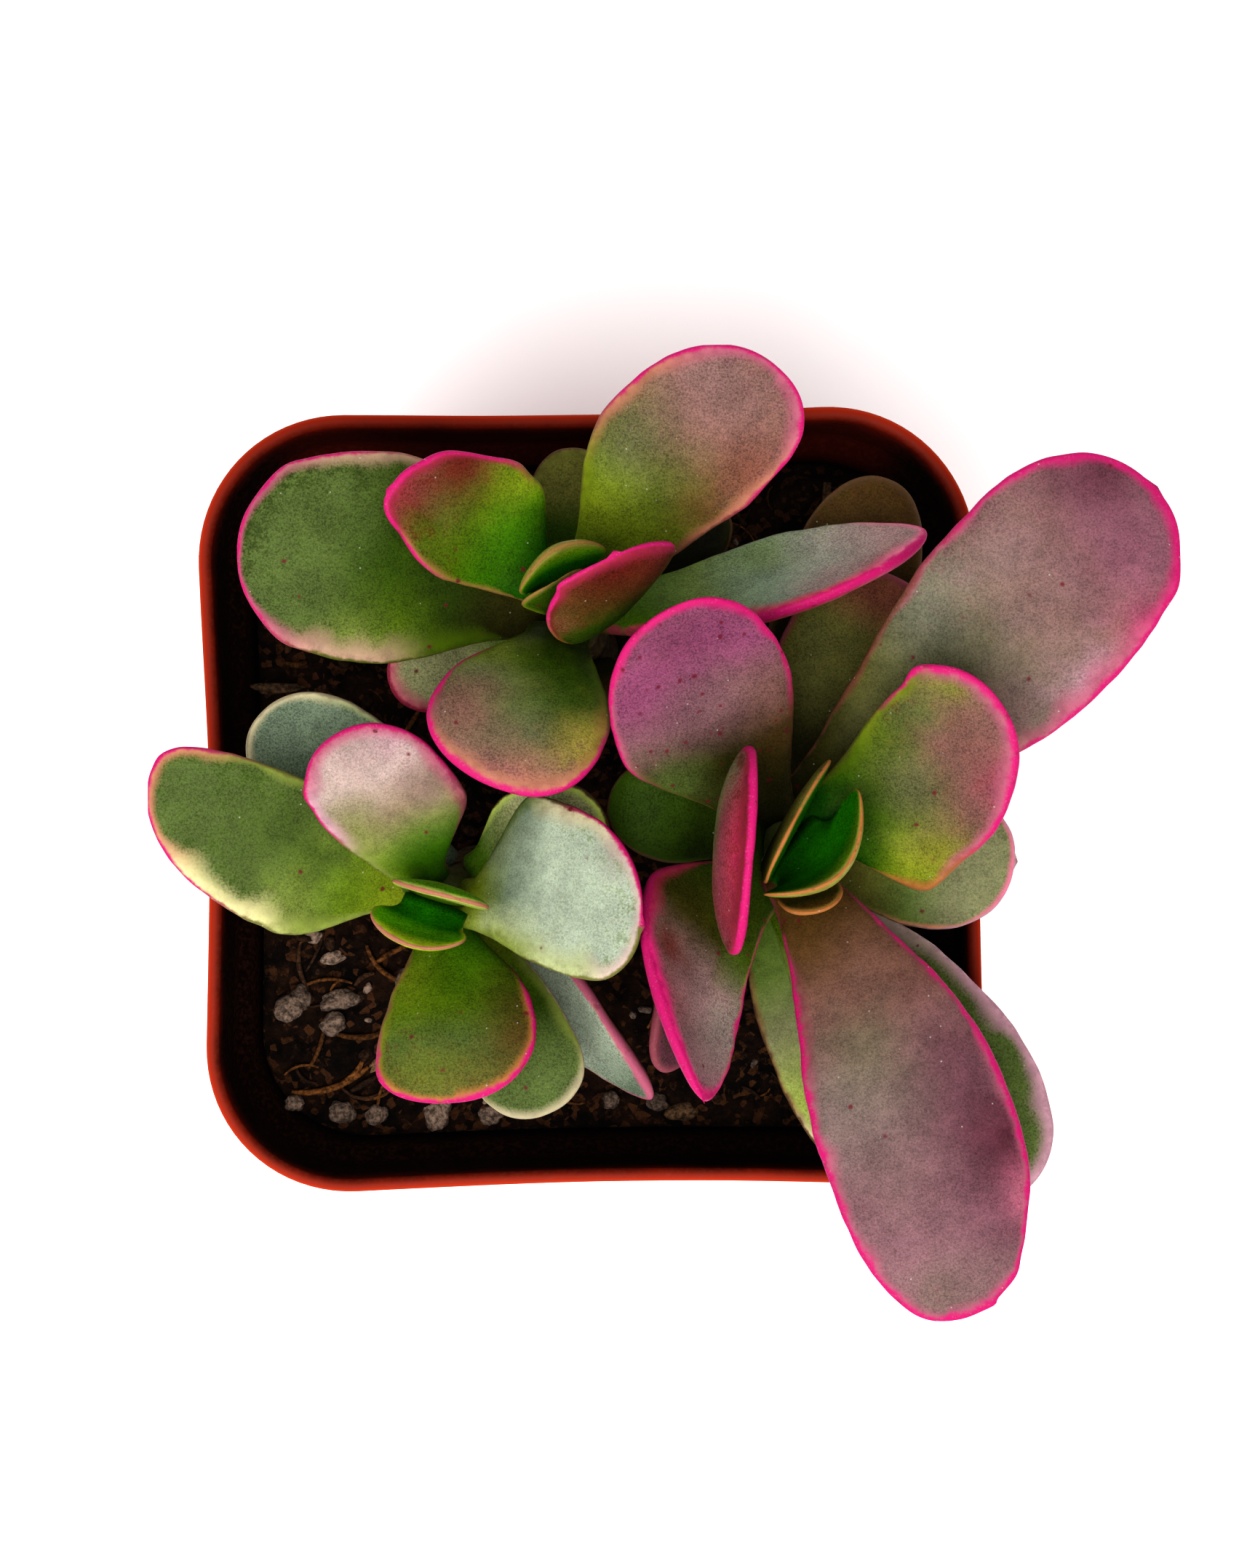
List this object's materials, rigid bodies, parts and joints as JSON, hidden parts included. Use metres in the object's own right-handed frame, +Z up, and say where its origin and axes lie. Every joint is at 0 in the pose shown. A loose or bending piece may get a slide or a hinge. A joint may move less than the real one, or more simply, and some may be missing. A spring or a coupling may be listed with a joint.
{
  "type": "potted rainbow jade plant",
  "caption": "Small square nursery pot of a branching jade plant, with thick oval green and purple leaves edged in pink.",
  "frame": {"origin": "centre of the pot's flat underside, on the surface it rests on", "axes": "+Z up; +X and +Y along the pot's sides, +Y towards the far side in the picture's view from above"},
  "size_m": [0.0795, 0.0743, 0.09],
  "materials": {
    "pot": "thin moulded terracotta-red plastic, satin",
    "soil": "dark potting mix with pumice bits and bark fibres",
    "stem": "olive-brown fleshy stem skin, matt",
    "leaf": "waxy satin leaf skin, green to mauve with a pink or pale yellow margin"
  },
  "bodies": {
    "root": {"pot": "pot", "soil": "soil", "stem_north": "stem", "leaf_north_01": "leaf", "leaf_north_02": "leaf", "leaf_north_03": "leaf", "leaf_north_04": "leaf", "leaf_north_05": "leaf", "leaf_north_06": "leaf", "leaf_north_07": "leaf", "leaf_north_08": "leaf", "leaf_north_09": "leaf", "leaf_north_10": "leaf", "leaf_north_11": "leaf", "leaf_north_12": "leaf", "stem_west": "stem", "leaf_west_01": "leaf", "leaf_west_02": "leaf", "leaf_west_03": "leaf", "leaf_west_04": "leaf", "leaf_west_05": "leaf", "leaf_west_06": "leaf", "leaf_west_07": "leaf", "leaf_west_08": "leaf", "leaf_west_09": "leaf", "leaf_west_10": "leaf", "stem_east": "stem", "leaf_east_01": "leaf", "leaf_east_02": "leaf", "leaf_east_03": "leaf", "leaf_east_04": "leaf", "leaf_east_05": "leaf", "leaf_east_06": "leaf", "leaf_east_07": "leaf", "leaf_east_08": "leaf", "leaf_east_09": "leaf", "leaf_east_10": "leaf", "leaf_east_11": "leaf", "leaf_east_12": "leaf", "leaf_east_13": "leaf", "leaf_east_14": "leaf", "leaf_east_15": "leaf", "leaf_east_16": "leaf"}
  },
  "joints": []
}
